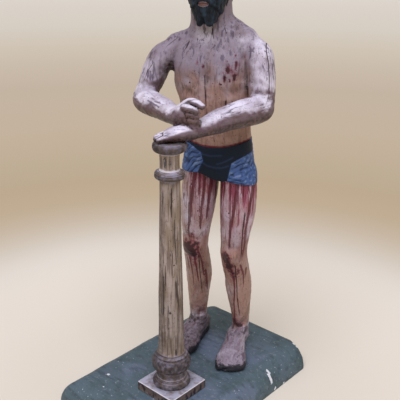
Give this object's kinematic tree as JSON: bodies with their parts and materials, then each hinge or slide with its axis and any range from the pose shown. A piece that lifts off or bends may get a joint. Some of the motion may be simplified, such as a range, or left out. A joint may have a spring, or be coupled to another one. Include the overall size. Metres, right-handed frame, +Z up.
{
  "type": "christ statue",
  "caption": "Small painted wooden statue of a standing man in a loincloth, hands over a free-standing column, on a board plinth.",
  "frame": {"origin": "centre of the plinth's underside", "axes": "+Z up; -Y is the plinth's end where the column stands, and +Y its straight-cut back"},
  "size_m": [0.1348, 0.193, 0.3902],
  "materials": {
    "plinth_paint": "dark slate green paint with chips, low sheen",
    "column_paint": "ivory paint with brown stains and cracks, low sheen",
    "flesh_paint": "pale pink painted flesh with wounds, dark blue cloth, dark hair and beard, low sheen"
  },
  "bodies": {
    "root": {"plinth": "plinth_paint", "column": "column_paint", "figure": "flesh_paint"}
  },
  "joints": []
}
